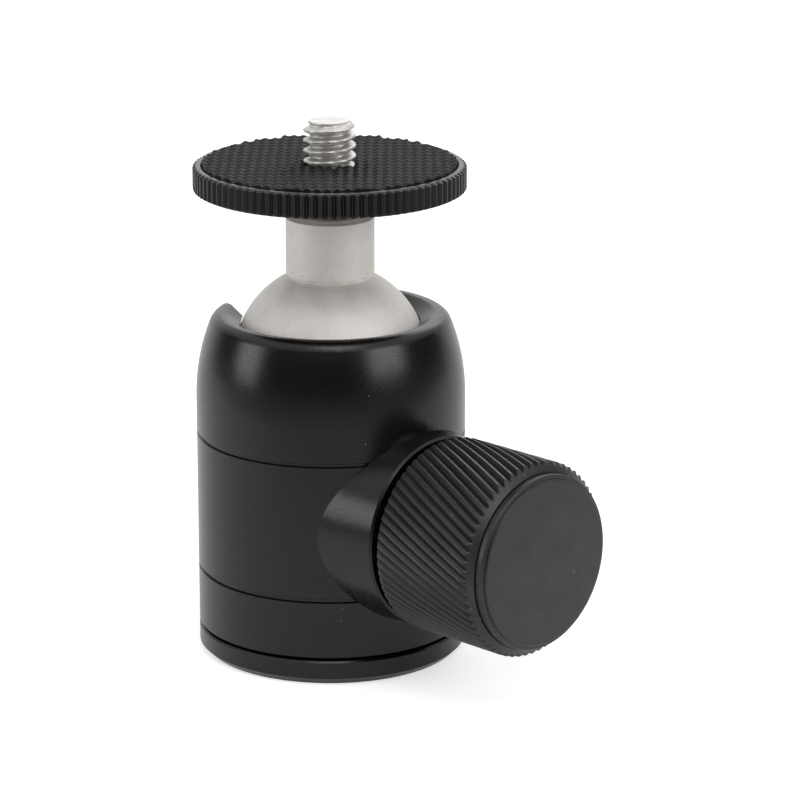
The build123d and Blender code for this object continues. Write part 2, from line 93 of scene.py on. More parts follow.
# ---- sizes that only this model has ----
PLATE_KNURL_DEPTH = 0.42
PLATE_BORE_R = 4.22
PLATE_FOOT_R = 15.85
KNOB_KNURL_DEPTH = 0.50
KNOB_BORE_R = 6.0
CAP_SEAT_R = 9.05
WAVE_ACROSS = 1.17      # from one row of the pad's waves to the next
WAVE_ALONG = 1.72       # from wave to wave along a row
WAVE_HEIGHT = 0.52
FOOT_SCUFFS = (47.2, 47.9)      # heights on the stem
TOP_SCUFFS = (53.0, 53.9)
WELD = 0.003            # points nearer than this are one point after a cut

# ---- the camera's view: azimuth 0 looks along +Y, and 90 along -X ----
VIEW_AZIMUTH = 45.0
VIEW_ELEVATION = 16.284
CAMERA_DISTANCE = 0.450
CAMERA_AIM = Vector((0.005976, 0.005976, 0.031073))
CAMERA_LENS = 165.4

scene = bpy.context.scene


# ---- helpers: meshes ----

def add_object(name, data):
    """A new object in the scene, from a mesh, a lamp or a camera."""
    obj = bpy.data.objects.new(name, data)
    scene.collection.objects.link(obj)
    return obj


def mesh_object(name, points, faces, sharp_deg=32.0):
    """An object from points in millimetres, smooth but for edges sharper than sharp_deg."""
    mesh = bpy.data.meshes.new(name)
    mesh.from_pydata([(x * MM, y * MM, z * MM) for x, y, z in points], [], faces)
    bm = bmesh.new()
    bm.from_mesh(mesh)
    bmesh.ops.recalc_face_normals(bm, faces=bm.faces)
    bm.to_mesh(mesh)
    bm.free()
    smooth_shade(mesh, sharp_deg)
    return add_object(name, mesh)


def smooth_shade(mesh, sharp_deg):
    mesh.shade_smooth()
    mesh.set_sharp_from_angle(angle=math.radians(sharp_deg))


def arc(centre, radius, start_deg, end_deg, steps):
    """Points on a circle arc in the (radius, height) half plane."""
    points = []
    for i in range(steps + 1):
        angle = math.radians(start_deg + (end_deg - start_deg) * i / steps)
        points.append((centre[0] + radius * math.cos(angle), centre[1] + radius * math.sin(angle)))
    return points


def rounded(corners, steps=4):
    """A (radius, height) outline whose corners (r, z, rounding) are rounded off."""
    out = []
    count = len(corners)
    for i, corner in enumerate(corners):
        r, z = corner[:2]
        size = corner[2] if len(corner) > 2 else 0.0
        here = Vector((r, z))
        before = Vector(corners[i - 1][:2]) - here
        after = Vector(corners[(i + 1) % count][:2]) - here
        if size <= 0 or before.length < 1e-9 or after.length < 1e-9:
            out.append((r, z))
            continue
        size = min(size, 0.49 * before.length, 0.49 * after.length)
        a = here + before.normalized() * size
        b = here + after.normalized() * size
        for k in range(steps + 1):
            t = k / steps
            p = a * (1 - t) ** 2 + here * 2 * t * (1 - t) + b * t ** 2
            out.append((p.x, p.y))
    return out


def lathe(name, outline, steps=192, sharp_deg=32.0, closed=True):
    """Turns an outline of (radius, height) points round Z; points on the axis become one point."""
    points, rings = [], []
    for r, z in outline:
        if r < 1e-6:
            rings.append([len(points)] * steps)
            points.append((0.0, 0.0, z))
        else:
            rings.append(list(range(len(points), len(points) + steps)))
            for k in range(steps):
                angle = TAU * k / steps
                points.append((r * math.cos(angle), r * math.sin(angle), z))
    faces = []
    pairs = zip(rings, rings[1:] + rings[:1]) if closed else zip(rings, rings[1:])
    for low, high in pairs:
        for k in range(steps):
            n = (k + 1) % steps
            corners = []
            for v in (low[k], low[n], high[n], high[k]):
                if v not in corners:
                    corners.append(v)
            if len(corners) >= 3:
                faces.append(corners)
    return mesh_object(name, points, faces, sharp_deg)


def lay_on_knob_axis(obj):
    """Turns a mesh that was made along +Z so that it lies along +X at the knob's height."""
    quarter_turn = Matrix.Rotation(math.radians(90), 4, "Y")
    obj.data.transform(Matrix.Translation((0, 0, KNOB_Z * MM)) @ quarter_turn)
    return obj


def ring_faces(low, high, steps):
    """Faces between two rings of points, whose first points are low and high."""
    faces = []
    for k in range(steps):
        n = (k + 1) % steps
        faces.append((low + k, low + n, high + n, high + k))
    return faces


def away(azimuth_deg, elevation_deg):
    """Unit vector from the head towards a lamp or the camera."""
    a, e = math.radians(azimuth_deg), math.radians(elevation_deg)
    return Vector((math.sin(a) * math.cos(e), -math.cos(a) * math.cos(e), math.sin(e)))


def stand_in(obj, node, body):
    """The piece replaces a CAD node, which is hidden, and rides on its body."""
    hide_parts(node)
    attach(obj, body)
    return obj


# ---- helpers: materials ----

class Shader:
    """A node material with short calls for the nodes that are used here."""

    def __init__(self, name):
        self.material = bpy.data.materials.new(name)
        self.material.use_nodes = True
        self.tree = self.material.node_tree
        self.bsdf = self.tree.nodes["Principled BSDF"]
        self.coords = self.tree.nodes.new("ShaderNodeTexCoord").outputs["Object"]

    def link(self, source, target):
        self.tree.links.new(source, target)

    def noise(self, per_mm, detail=3.0, stretch=None):
        node = self.tree.nodes.new("ShaderNodeTexNoise")
        node.inputs["Scale"].default_value = per_mm * 1000
        node.inputs["Detail"].default_value = detail
        vector = self.coords
        if stretch:
            mapping = self.tree.nodes.new("ShaderNodeMapping")
            mapping.inputs["Scale"].default_value = stretch
            self.link(vector, mapping.inputs["Vector"])
            vector = mapping.outputs["Vector"]
        self.link(vector, node.inputs["Vector"])
        return node.outputs["Fac"]

    def specks(self, per_mm, size):
        """1 in small round spots, 0 elsewhere."""
        node = self.tree.nodes.new("ShaderNodeTexVoronoi")
        node.inputs["Scale"].default_value = per_mm * 1000
        self.link(self.coords, node.inputs["Vector"])
        return self.remap(node.outputs["Distance"], size, size * 0.5, 0.0, 1.0)

    def remap(self, value, low, high, to_low, to_high):
        node = self.tree.nodes.new("ShaderNodeMapRange")
        numbers = {"From Min": low, "From Max": high, "To Min": to_low, "To Max": to_high}
        for key, number in numbers.items():
            node.inputs[key].default_value = number
        self.link(value, node.inputs["Value"])
        return node.outputs["Result"]

    def math(self, operation, a, b):
        node = self.tree.nodes.new("ShaderNodeMath")
        node.operation = operation
        for socket, value in zip(node.inputs, (a, b)):
            if isinstance(value, (int, float)):
                socket.default_value = value
            else:
                self.link(value, socket)
        return node.outputs["Value"]

    def times(self, a, b):
        return self.math("MULTIPLY", a, b)

    def mask(self, per_mm, detail, low, high, stretch=None):
        """0 where the noise is under low, 1 where it is over high."""
        return self.remap(self.noise(per_mm, detail, stretch), low, high, 0, 1)

    def colour(self, factor, dark, light):
        """From dark to light as the factor goes from 0 to 1."""
        node = self.tree.nodes.new("ShaderNodeMix")
        node.data_type = "RGBA"
        for socket, value in (("A", dark), ("B", light)):
            if isinstance(value, tuple):
                node.inputs[socket].default_value = (*value, 1)
            else:
                self.link(value, node.inputs[socket])
        self.link(factor, node.inputs["Factor"])
        return node.outputs["Result"]

    def band(self, low_mm, high_mm, soft_mm=0.3):
        """1 between two heights, fading to 0 outside them."""
        split = self.tree.nodes.new("ShaderNodeSeparateXYZ")
        self.link(self.coords, split.inputs["Vector"])
        rise = self.remap(split.outputs["Z"], (low_mm - soft_mm) * MM, low_mm * MM, 0, 1)
        fall = self.remap(split.outputs["Z"], high_mm * MM, (high_mm + soft_mm) * MM, 1, 0)
        return self.times(rise, fall)

    def bump(self, height, strength, depth_mm):
        node = self.tree.nodes.new("ShaderNodeBump")
        node.inputs["Strength"].default_value = strength
        node.inputs["Distance"].default_value = depth_mm * MM
        self.link(height, node.inputs["Height"])
        self.link(node.outputs["Normal"], self.bsdf.inputs["Normal"])

    def set(self, **values):
        for key, value in values.items():
            socket = self.bsdf.inputs[key.replace("_", " ")]
            if isinstance(value, bpy.types.NodeSocket):
                self.link(value, socket)
            elif isinstance(value, tuple):
                socket.default_value = (*value, 1)
            else:
                socket.default_value = value


DUST = (0.22, 0.21, 0.20)
PIT = (0.30, 0.27, 0.24)
SCUFF = (0.20, 0.18, 0.16)
WARM_SHEEN = (1.0, 0.965, 0.94)


def anodised(name, dark, light, rough_low, rough_high, grain=0.35, speck_size=0.0,
             lines_along=None, depth=0.012, ior=1.43):
    """Black anodised aluminium over a fine bead blast or fine tool lines, with a little dust."""
    s = Shader(name)
    cloud = s.mask(per_mm=0.25, detail=4, low=0.35, high=0.65)
    grain_height = s.noise(per_mm=7.0, detail=2)
    if lines_along:
        lines = s.times(s.noise(0.9, 2, lines_along), 0.6)
        grain_height = s.math("ADD", s.times(grain_height, 0.4), lines)
    base = s.colour(cloud, dark, light)
    if speck_size:
        dusty = s.mask(per_mm=0.9, detail=0, low=0.56, high=0.6)
        base = s.colour(s.times(s.specks(0.55, speck_size), dusty), base, DUST)
    s.set(Base_Color=base, Roughness=s.remap(grain_height, 0.3, 0.7, rough_low, rough_high),
          IOR=ior, Specular_Tint=WARM_SHEEN)
    s.bump(grain_height, grain, depth)
    return s.material


def blasted(name, dark, light, rough, grain=0.5):
    """Bead-blasted, clear anodised aluminium with small pits, and scuffs at the stem's two ends."""
    s = Shader(name)
    cloud = s.noise(per_mm=0.45, detail=4)
    grain_height = s.noise(per_mm=5.0, detail=3)
    tone = s.math("ADD", s.times(cloud, 0.55), s.times(grain_height, 0.45))
    pitted = s.mask(per_mm=0.7, detail=0, low=0.52, high=0.58)
    pits = s.times(s.specks(per_mm=0.8, size=0.06), pitted)
    worn = s.mask(per_mm=0.21, detail=0, low=0.53, high=0.60)
    streaks = s.mask(per_mm=1.3, detail=3, low=0.56, high=0.66, stretch=(1, 1, 5))
    ends = s.math("ADD", s.band(*FOOT_SCUFFS), s.times(s.band(*TOP_SCUFFS), 0.6))
    scuffs = s.times(s.times(s.times(worn, streaks), ends), 0.75)
    base = s.colour(s.remap(tone, 0.38, 0.62, 0, 1), dark, light)
    base = s.colour(scuffs, s.colour(pits, base, PIT), SCUFF)
    s.set(Base_Color=base, Metallic=0.85,
          Roughness=s.remap(cloud, 0.3, 0.7, rough - 0.04, rough + 0.04))
    s.bump(grain_height, grain, 0.015)
    return s.material


def turned_metal(name, dark, light, rough, lines_along=(1, 1, 14)):
    """Bright turned metal with fine tool lines."""
    s = Shader(name)
    cloud = s.mask(per_mm=0.8, detail=4, low=0.35, high=0.65)
    lines = s.noise(1.2, 4, lines_along)
    s.set(Base_Color=s.colour(cloud, dark, light), Metallic=1.0,
          Roughness=s.remap(lines, 0.3, 0.7, rough - 0.06, rough + 0.06))
    s.bump(lines, 0.25, 0.01)
    return s.material


def rubber(name, dark, light):
    s = Shader(name)
    cloud = s.mask(per_mm=0.7, detail=3, low=0.35, high=0.65)
    grain_height = s.noise(per_mm=3.5, detail=4)
    s.set(Base_Color=s.colour(cloud, dark, light), IOR=1.31,
          Roughness=s.remap(grain_height, 0.3, 0.7, 0.42, 0.58))
    s.bump(grain_height, 0.5, 0.02)
    return s.material


def plastic(name, dark, light, rough):
    s = Shader(name)
    grain_height = s.noise(per_mm=2.5, detail=3)
    s.set(Base_Color=s.colour(grain_height, dark, light),
          Roughness=s.remap(grain_height, 0.3, 0.7, rough - 0.05, rough + 0.05))
    s.bump(grain_height, 0.2, 0.01)
    return s.material


BLACK = anodised("black_anodised", (0.0024, 0.0021, 0.0019), (0.0038, 0.0033, 0.0030),
                 0.22, 0.31, speck_size=0.05)
KNOB_BLACK = anodised("black_anodised_knob", (0.0185, 0.0176, 0.0168), (0.0265, 0.0255, 0.0246),
                      0.30, 0.42, grain=0.8, speck_size=0.06,
                      lines_along=(2.8, 0.4, 0.4), depth=0.03)
PLATE_BLACK = anodised("black_anodised_plate", (0.0050, 0.0048, 0.0046), (0.0080, 0.0077, 0.0074),
                       0.22, 0.30, speck_size=0.04)
# The plain ring round the pad: a lighter copy of the plate's black with a stronger reflection. The
# lighter colour is painted sheen for the white backdrop that this flat ring mirrors at a low angle;
# its turned lines are real.
PLATE_RIM_PAINTED_SHEEN = anodised("black_anodised_rim_painted_sheen", (0.030, 0.029, 0.028), (0.055, 0.053, 0.051),
                     0.30, 0.42, lines_along=(4.0, 4.0, 0.3), ior=1.62)
PLATE_UNDERSIDE = anodised("black_anodised_underside", (0.0050, 0.0048, 0.0046),
                           (0.0080, 0.0077, 0.0074), 0.50, 0.60, ior=1.22)
SILVER = blasted("silver_blasted", (0.735, 0.712, 0.682), (0.825, 0.803, 0.773), 0.70)
STAINLESS = turned_metal("stainless", (0.58, 0.565, 0.545), (0.68, 0.665, 0.645), 0.48)
STEEL = turned_metal("steel", (0.42, 0.42, 0.43), (0.56, 0.56, 0.57), 0.34)
BRASS = turned_metal("brass", (0.62, 0.47, 0.22), (0.78, 0.62, 0.33), 0.32)
RUBBER = rubber("pad_rubber", (0.0045, 0.0043, 0.0042), (0.010, 0.0097, 0.0094))
SEAT_PLASTIC = plastic("seat_plastic", (0.74, 0.73, 0.68), (0.84, 0.83, 0.78), 0.45)
BLACK_PLASTIC = plastic("black_plastic", (0.012, 0.012, 0.012), (0.022, 0.022, 0.022), 0.5)

CAD_FINISH = {
    "housing": BLACK, "knob_collar": BLACK, "base_plate": BLACK, "bottom_plug": BLACK,
    "thread_insert": STEEL, "wedge_pin": STEEL, "lock_screw": STEEL, "knob_clip": STEEL,
    "pan_retainer": STEEL, "retainer_screws": STEEL,
    "seat_lifter": BRASS, "lock_bushing": BRASS,
    "seat_liner": SEAT_PLASTIC, "pan_top_washer": SEAT_PLASTIC,
    "ball_ring": BLACK_PLASTIC, "pan_washer": BLACK_PLASTIC,
}
for node_name, finish in CAD_FINISH.items():
    cad = NODES[node_name]
    cad.data.materials.clear()
    cad.data.materials.append(finish)


# ---- camera plate ----

def ridged_rows(rows, count, profile, depth):
    """Rings of points round Z, from rows of (radius, share, z).

    A share of 1 gives the ridges their full depth, and 0 makes the ring round.
    """
    steps = count * len(profile)
    points = []
    for radius, share, z in rows:
        for k in range(steps):
            phase, height = profile[k % len(profile)]
            angle = TAU * (k // len(profile) + phase) / count
            r = radius - depth * share * (1 - height)
            points.append((r * math.cos(angle), r * math.sin(angle), z))
    faces = []
    for i in range(len(rows)):
        faces += ring_faces(i * steps, (i + 1) % len(rows) * steps, steps)
    return points, faces


def camera_plate():
    """Plate with a straight V knurl; the slope at each face cuts the ridges into a zigzag edge."""
    profile = [(0.0, 0.0), (0.05, 0.03), (0.36, 0.93), (0.40, 1.0), (0.60, 1.0), (0.64, 0.93),
               (0.95, 0.03)]
    depth = PLATE_KNURL_DEPTH
    slope, edge = 0.20, 0.04
    rows = [(PLATE_BORE_R, 0, PLATE_FOOT), (PLATE_FOOT_R, 0, PLATE_FOOT)]
    for share in (0.0, 0.25, 0.5, 0.75, 1.0):
        z = PLATE_FOOT + edge + slope * share
        rows.append((PLATE_R - depth * (1 - share), share, z))
    for share in (1.0, 0.75, 0.5, 0.25, 0.0):
        z = PLATE_TOP - edge - slope * share
        rows.append((PLATE_R - depth * (1 - share), share, z))
    rows += [(PLATE_R - depth - 0.02, 0, PLATE_TOP), (PAD_R + 0.22, 0, PLATE_TOP),
             (PAD_R + 0.12, 0, PLATE_TOP - 0.08), (PAD_R + 0.1, 0, PAD_FLOOR),
             (PLATE_BORE_R, 0, PAD_FLOOR)]
    points, faces = ridged_rows(rows, PLATE_KNURLS, profile, depth)
    obj = mesh_object("plate_body", points, faces, sharp_deg=22)
    for finish in (PLATE_BLACK, PLATE_RIM_PAINTED_SHEEN, PLATE_UNDERSIDE):
        obj.data.materials.append(finish)
    for polygon in obj.data.polygons:
        # the ring round the pad gets the lighter copy of the black, which is painted sheen
        if polygon.center.z > (PLATE_TOP - 0.1) * MM:       # the plain ring round the pad
            polygon.material_index = 1
        elif polygon.center.z < (PLATE_FOOT + 0.02) * MM:   # the underside
            polygon.material_index = 2
    return stand_in(obj, "camera_plate", "platform")


def pad_wave(u, v):
    """Height of the pad's surface at u rows across and v waves along."""
    peak_u = 1 - abs(2 * (u - math.floor(u + 0.5)))
    peak_u = 0.5 * peak_u + 0.5 * math.cos(math.pi * u) ** 2
    wave = (v + 0.20 * peak_u) % 1.0
    ridge_v = wave / 0.38 if wave < 0.38 else (1 - wave) / 0.62
    return WAVE_HEIGHT * (0.66 * ridge_v + 0.34 * peak_u) - 0.05 * (1 - peak_u)


def grip_pad():
    """Rubber disc covered in rows of small round-topped bumps, cut to a circle."""
    foot_z = PAD_FLOOR + 0.02
    fine = 8            # points to a wave, each way
    turn = math.radians(-VIEW_AZIMUTH)
    cos_t, sin_t = math.cos(turn), math.sin(turn)
    columns, rows = int(PAD_R / WAVE_ACROSS) + 2, int(PAD_R / WAVE_ALONG) + 2
    nx, ny = 2 * columns * fine, 2 * rows * fine
    points = []
    for j in range(ny + 1):
        for i in range(nx + 1):
            u, v = i / fine - columns, j / fine - rows
            x, y = u * WAVE_ACROSS, v * WAVE_ALONG
            z = PLATE_TOP + pad_wave(u, v)
            points.append((x * cos_t + y * sin_t, -x * sin_t + y * cos_t, z))
    width = nx + 1
    top = len(points)
    points += [(x, y, foot_z) for x, y, _ in points]
    faces = []
    for j in range(ny):
        for i in range(nx):
            a = j * width + i
            faces.append((a, a + 1, a + 1 + width, a + width))
    edge = list(range(nx)) + [j * width + nx for j in range(ny)]
    edge += [ny * width + nx - i for i in range(nx)] + [(ny - j) * width for j in range(ny)]
    for k in range(len(edge)):
        a, b = edge[k], edge[(k + 1) % len(edge)]
        faces.append((a, a + top, b + top, b))
    faces.append(tuple(a + top for a in edge))
    # the lower points inside the edge carry no face
    used = sorted({v for face in faces for v in face})
    place = {v: k for k, v in enumerate(used)}
    faces = [tuple(place[v] for v in face) for face in faces]
    disc = mesh_object("pad_rubber_disc", [points[v] for v in used], faces, sharp_deg=60)
    bore, low, high = STUD_R + 0.12, foot_z - 0.5, PLATE_TOP + 2
    outline = [(bore, low), (PAD_R, low), (PAD_R, high), (bore, high)]
    keep_inside(disc, lathe("pad_cutter", outline, steps=160))
    smooth_shade(disc.data, sharp_deg=50)
    disc.data.materials.clear()
    disc.data.materials.append(RUBBER)
    return stand_in(disc, "grip_pad", "platform")


def keep_inside(obj, tool):
    """Cuts off what lies outside the tool, welds the slivers, and removes the tool."""
    modifier = obj.modifiers.new("cut", "BOOLEAN")
    modifier.operation = "INTERSECT"
    modifier.solver = "EXACT"
    modifier.object = tool
    bpy.context.view_layer.update()
    evaluated = obj.evaluated_get(bpy.context.evaluated_depsgraph_get())
    done = bpy.data.meshes.new_from_object(evaluated)
    bm = bmesh.new()
    bm.from_mesh(done)
    bmesh.ops.remove_doubles(bm, verts=bm.verts, dist=WELD * MM)
    bmesh.ops.dissolve_degenerate(bm, edges=bm.edges, dist=WELD * MM)
    bmesh.ops.triangulate(bm, faces=[face for face in bm.faces if len(face.verts) > 4])
    bm.to_mesh(done)
    bm.free()
    obj.modifiers.clear()
    old = obj.data
    obj.data = done
    bpy.data.meshes.remove(old)
    bpy.data.objects.remove(tool)


def camera_stud():
    """Right-hand thread with sharp crests, a chamfered tip and a plain shank below the plate."""
    depth, rise, crest, point = 0.76, 0.37, 0.11, 0.75      # rise and crest are shares of a pitch
    thread_foot = PAD_FLOOR
    tall = STUD_TOP - thread_foot
    across, per_pitch = 72, 12
    count = int(tall / THREAD_PITCH * per_pitch)

    def ridge(phase):
        phase = phase % 1.0
        if phase < rise:
            return phase / rise
        if phase < rise + crest:
            return 1.0
        if phase < 2 * rise + crest:
            return 1 - (phase - rise - crest) / rise
        return 0.0

    shank = ((SHANK_R - 0.6, SHANK_FOOT), (SHANK_R, SHANK_FOOT + 0.6), (SHANK_R, thread_foot - 0.3))
    rows = [[corner] * across for corner in shank]
    for i in range(count + 1):
        z = thread_foot + tall * i / count
        limit = min(SHANK_R + (z - thread_foot), STUD_R - max(0.0, point - (STUD_TOP - z)))
        row = []
        for k in range(across):
            x = ridge((z - thread_foot) / THREAD_PITCH - k / across)
            row.append((min(limit, STUD_R - depth * (1 - x * x * (3 - 2 * x))), z))
        rows.append(row)
    points = []
    for row in rows:
        for k, (r, z) in enumerate(row):
            angle = TAU * k / across
            points.append((r * math.cos(angle), r * math.sin(angle), z))
    faces = []
    for i in range(len(rows) - 1):
        faces += ring_faces(i * across, (i + 1) * across, across)
    faces.append(tuple(range(across)))
    faces.append(tuple(range((len(rows) - 1) * across, len(rows) * across)))
    obj = mesh_object("stud_thread", points, faces, sharp_deg=38)
    obj.data.materials.append(STAINLESS)
    return stand_in(obj, "camera_stud", "platform")


def plate_hub():
    """Boss under the plate, undercut at its foot, with a spigot in the plate's bore."""
    bore, spigot, undercut = SHANK_R + 0.02, PLATE_BORE_R - 0.02, 4.3
    step, top = HUB_FOOT + 0.3, PLATE_FOOT - 0.02
    outline = rounded([(bore, HUB_FOOT, 0.1), (undercut, HUB_FOOT, 0.1), (undercut, step, 0.05),
                       (HUB_R, step, 0.12), (HUB_R, top, 0.05), (spigot, top),
                       (spigot, PAD_FLOOR), (bore, PAD_FLOOR)])
    obj = lathe("hub_boss", outline)
    obj.data.materials.append(SILVER)
    return stand_in(obj, "plate_hub", "platform")


def ball_and_stem():
    """Ball, a small turned relief and lip, the stem, and the blind hole for the stud."""
    neck = math.degrees(math.acos((STEM_R - 0.22) / BALL_R))
    outline = [(0.0, BALL_Z - BALL_R)]
    outline += arc((0, BALL_Z), BALL_R, -89, neck, steps=96)
    neck_z = BALL_Z + BALL_R * math.sin(math.radians(neck))
    hole_r, hole_foot = SHANK_R + 0.05, STEM_TOP - 10
    outline += [(STEM_R - 0.20, neck_z + 0.10), (STEM_R - 0.10, neck_z + 0.26),
                (STEM_R, neck_z + 0.38), (STEM_R, neck_z + 0.7),
                (STEM_R, STEM_TOP - 0.32), (STEM_R - 0.03, STEM_TOP - 0.28),
                (STEM_R - 0.28, STEM_TOP - 0.02), (STEM_R - 0.34, STEM_TOP),
                (hole_r, STEM_TOP), (hole_r, hole_foot), (0.0, hole_foot)]
    obj = lathe("ball_and_stem", outline, closed=False)
    obj.data.materials.append(SILVER)
    return stand_in(obj, "ball_stem", "ball")


# ---- knob ----

def knob_barrel():
    """Barrel with slanting ridges, a rounded inner end and a plain cone at its outer end."""
    profile = [(0.0, 0.0), (0.08, 0.18), (0.24, 0.66), (0.42, 0.96), (0.57, 1.0), (0.73, 0.78),
               (0.91, 0.20)]
    steps = KNOB_KNURLS * len(profile)
    length = KNOB_END - KNOB_START
    cone_length, cone_drop = 0.8, 1.1
    first, last = KNOB_START + 0.5, KNOB_END - cone_length
    slices = 22
    seat = KNOB_END - 2.1       # the cap stands on this step

    def ring(z, limit, ridged=True):
        turn_deg = KNURL_START_DEG + KNURL_TWIST_DEG * (z - KNOB_START) / length
        out = []
        for k in range(steps):
            phase, height = profile[k % len(profile)]
            around = TAU * (k // len(profile) + phase - 0.5) / KNOB_KNURLS
            angle = around + math.radians(turn_deg)
            r = min(limit, KNOB_R - KNOB_KNURL_DEPTH * (1 - height)) if ridged else limit
            out.append((r * math.cos(angle), r * math.sin(angle), z))
        return out

    rows = [ring(KNOB_START, KNOB_BORE_R, False), ring(KNOB_START, KNOB_R - 0.9, False)]
    for z, drop in ((0.03, 0.6), (0.12, 0.35), (0.28, 0.12), (0.5, 0.0)):
        rows.append(ring(KNOB_START + z, KNOB_R - drop))
    rows += [ring(first + (last - first) * i / slices, KNOB_R) for i in range(1, slices)]
    for t in (0.0, 0.1, 0.2, 0.3, 0.4, 0.5, 0.6):
        rows.append(ring(last + cone_length * t, KNOB_R - cone_drop * t))
    end_r = KNOB_R - cone_drop
    for z, r in ((KNOB_END - 0.06, end_r + 0.08), (KNOB_END, end_r), (KNOB_END, end_r - 0.1),
                 (KNOB_END - 0.12, end_r - 0.14), (KNOB_END - 0.12, CAP_SEAT_R),
                 (seat, CAP_SEAT_R), (seat, KNOB_BORE_R)):
        rows.append(ring(z, r, False))
    points = [p for row in rows for p in row]
    faces = []
    for i in range(len(rows)):
        faces += ring_faces(i * steps, (i + 1) % len(rows) * steps, steps)
    obj = lay_on_knob_axis(mesh_object("knob_barrel", points, faces, sharp_deg=40))
    obj.data.materials.append(KNOB_BLACK)
    return stand_in(obj, "knob", "knob")


def knob_cap():
    """End cap: a rim, a step and a flat face with a rounded edge."""
    back, foot, rim, face = (KNOB_END + z for z in (-2, 0.1, 0.96, 1.29))
    plug_r, rim_r, face_r = 9.0, 10.55, 10.0
    outline = rounded([(0.0, back), (plug_r, back), (plug_r, foot), (rim_r, foot, 0.08),
                       (rim_r, rim, 0.2), (face_r + 0.12, rim, 0.04),
                       (face_r + 0.05, rim + 0.02, 0.02), (face_r, face, 0.2), (0.0, face)],
                      steps=6)
    obj = lay_on_knob_axis(lathe("knob_end_cap", outline, sharp_deg=50, closed=False))
    obj.data.materials.append(KNOB_BLACK)
    return stand_in(obj, "knob_cap", "knob")


# ---- spring ----

def spring_coil():
    """Coil of square wire under the seat lifter. On the head it shortens as the lifter goes down;
    here it keeps one length.
    """
    low, high = (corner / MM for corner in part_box("return_spring"))
    wire, turns, steps = 0.75, 2.5, 160
    points = []
    for i in range(steps + 1):
        angle = TAU * turns * i / steps
        z = low.z + (high.z - low.z - wire) * i / steps
        for r, lift in ((high.x - wire, 0), (high.x, 0), (high.x, wire), (high.x - wire, wire)):
            points.append((r * math.cos(angle), r * math.sin(angle), z + lift))
    faces = []
    for i in range(steps):
        faces += ring_faces(4 * i, 4 * (i + 1), 4)
    faces += [(0, 1, 2, 3), tuple(4 * steps + k for k in range(4))]
    obj = mesh_object("spring_wire", points, faces)
    obj.data.materials.append(STEEL)
    stand_in(obj, "return_spring", "housing")
    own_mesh(obj)


camera_plate()
grip_pad()
camera_stud()
plate_hub()
ball_and_stem()
knob_barrel()
knob_cap()
spring_coil()


# ---- floor, light and camera ----

# Lengths here are metres.
FLOOR_R = 0.42
FLOOR_BACK = 0.33       # from the object to the middle of the floor, away from the camera
FLOOR_POINTS = 96
FLOOR_COLOUR = (0.80, 0.80, 0.80, 1)
FLOOR_LEVEL = 0.60      # what the floor adds to its lit colour where the camera sees it
FLOOR_MIRRORED = 0.35   # and where it is mirrored, so that the foot keeps its contact shadow
AMBIENT = 0.50          # the world's level as a light

# Levels of the surroundings by the sine of the elevation, from LOWEST up:
# the white backdrop behind the head, and the dimmer room in front of it.
LOWEST = -0.4
BACKDROP = ((LOWEST, 1.0), (0.25, 1.0), (0.6, 0.8), (1.0, 0.9))
ROOM = ((LOWEST, 0.8), (-0.24, 0.7), (-0.12, 0.45), (-0.02, 0.25), (0.07, 0.08), (0.38, 0.05),
        (0.54, 0.6), (0.64, 1.0), (1.0, 1.0))
BACKDROP_EDGE = (0.45, 0.75)    # cosine of the angle from straight behind, from room to backdrop

# name, azimuth from the camera, elevation, width, height, power
SOFTBOXES = (
    ("softbox_left", -78, 14, 0.28, 0.28, 1.05),
    ("softbox_right", 54, 22, 0.40, 0.28, 1.55),
    ("softbox_top", 10, 60, 0.36, 0.36, 1.05),
    ("softbox_back", 170, 38, 0.50, 0.40, 0.8),
)
SOFTBOX_DISTANCE = 0.7
SOFTBOX_TARGET = Vector((0.003, 0, 0.035))


def seen_rays(tree):
    """1 for rays that see the surroundings off metal or through glass."""
    path = tree.nodes.new("ShaderNodeLightPath")
    total = tree.nodes.new("ShaderNodeMath")
    total.operation = "ADD"
    total.use_clamp = True
    tree.links.new(path.outputs["Is Glossy Ray"], total.inputs[0])
    tree.links.new(path.outputs["Is Transmission Ray"], total.inputs[1])
    return total.outputs["Value"]


def level_ramp(tree, height, levels):
    """The level of the surroundings at a height, which is the sine of the elevation."""
    scaled = tree.nodes.new("ShaderNodeMapRange")
    scaled.inputs["From Min"].default_value = LOWEST
    tree.links.new(height, scaled.inputs["Value"])
    ramp = tree.nodes.new("ShaderNodeValToRGB")
    stops = ramp.color_ramp.elements
    places = [(sine - LOWEST) / (1 - LOWEST) for sine, _ in levels]
    stops[0].position, stops[1].position = places[0], places[-1]
    for place in places[1:-1]:
        stops.new(place)
    for stop, (_, level) in zip(stops, levels):
        stop.color = (level, level, level, 1)
    tree.links.new(scaled.outputs["Result"], ramp.inputs["Fac"])
    return ramp.outputs["Color"]


def number_mix(tree, factor, low, high):
    """The number low where the factor is 0, and high where it is 1."""
    node = tree.nodes.new("ShaderNodeMix")
    for socket, value in (("A", low), ("B", high)):
        if isinstance(value, float):
            node.inputs[socket].default_value = value
        else:
            tree.links.new(value, node.inputs[socket])
    tree.links.new(factor, node.inputs["Factor"])
    return node.outputs["Result"]


